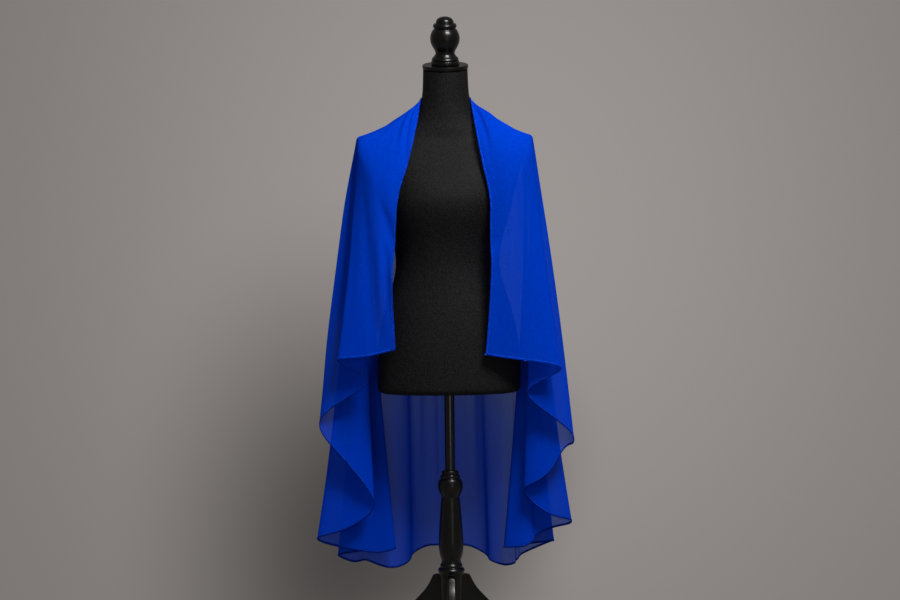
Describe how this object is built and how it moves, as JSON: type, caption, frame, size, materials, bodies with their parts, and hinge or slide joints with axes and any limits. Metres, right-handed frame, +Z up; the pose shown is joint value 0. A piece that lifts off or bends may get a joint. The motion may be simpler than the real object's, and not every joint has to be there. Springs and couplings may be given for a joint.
{
  "type": "chapel veil on a dress form with stand",
  "caption": "Sheer open-fronted chapel veil with a long fluted hem, draped over a limbless dress form on a turned wooden tripod stand.",
  "frame": {"origin": "on the floor, at the middle of the object's box", "axes": "+Z up, -Y towards the open front of the veil, +X to the right as seen from the front"},
  "size_m": [0.6218, 0.51, 1.5344],
  "materials": {
    "chiffon": "sheer royal blue chiffon with a narrow rolled hem",
    "jersey": "matte black stretch jersey over a smooth form",
    "black_wood": "turned wood lacquered satin black",
    "black_metal": "satin black tube"
  },
  "bodies": {
    "root": {"veil": "chiffon", "dress_form": "jersey", "neck_plate": "black_wood", "finial": "black_wood", "pole": "black_metal", "column": "black_wood", "hub": "black_wood", "leg_front": "black_wood", "leg_right": "black_wood", "leg_left": "black_wood"}
  },
  "joints": []
}
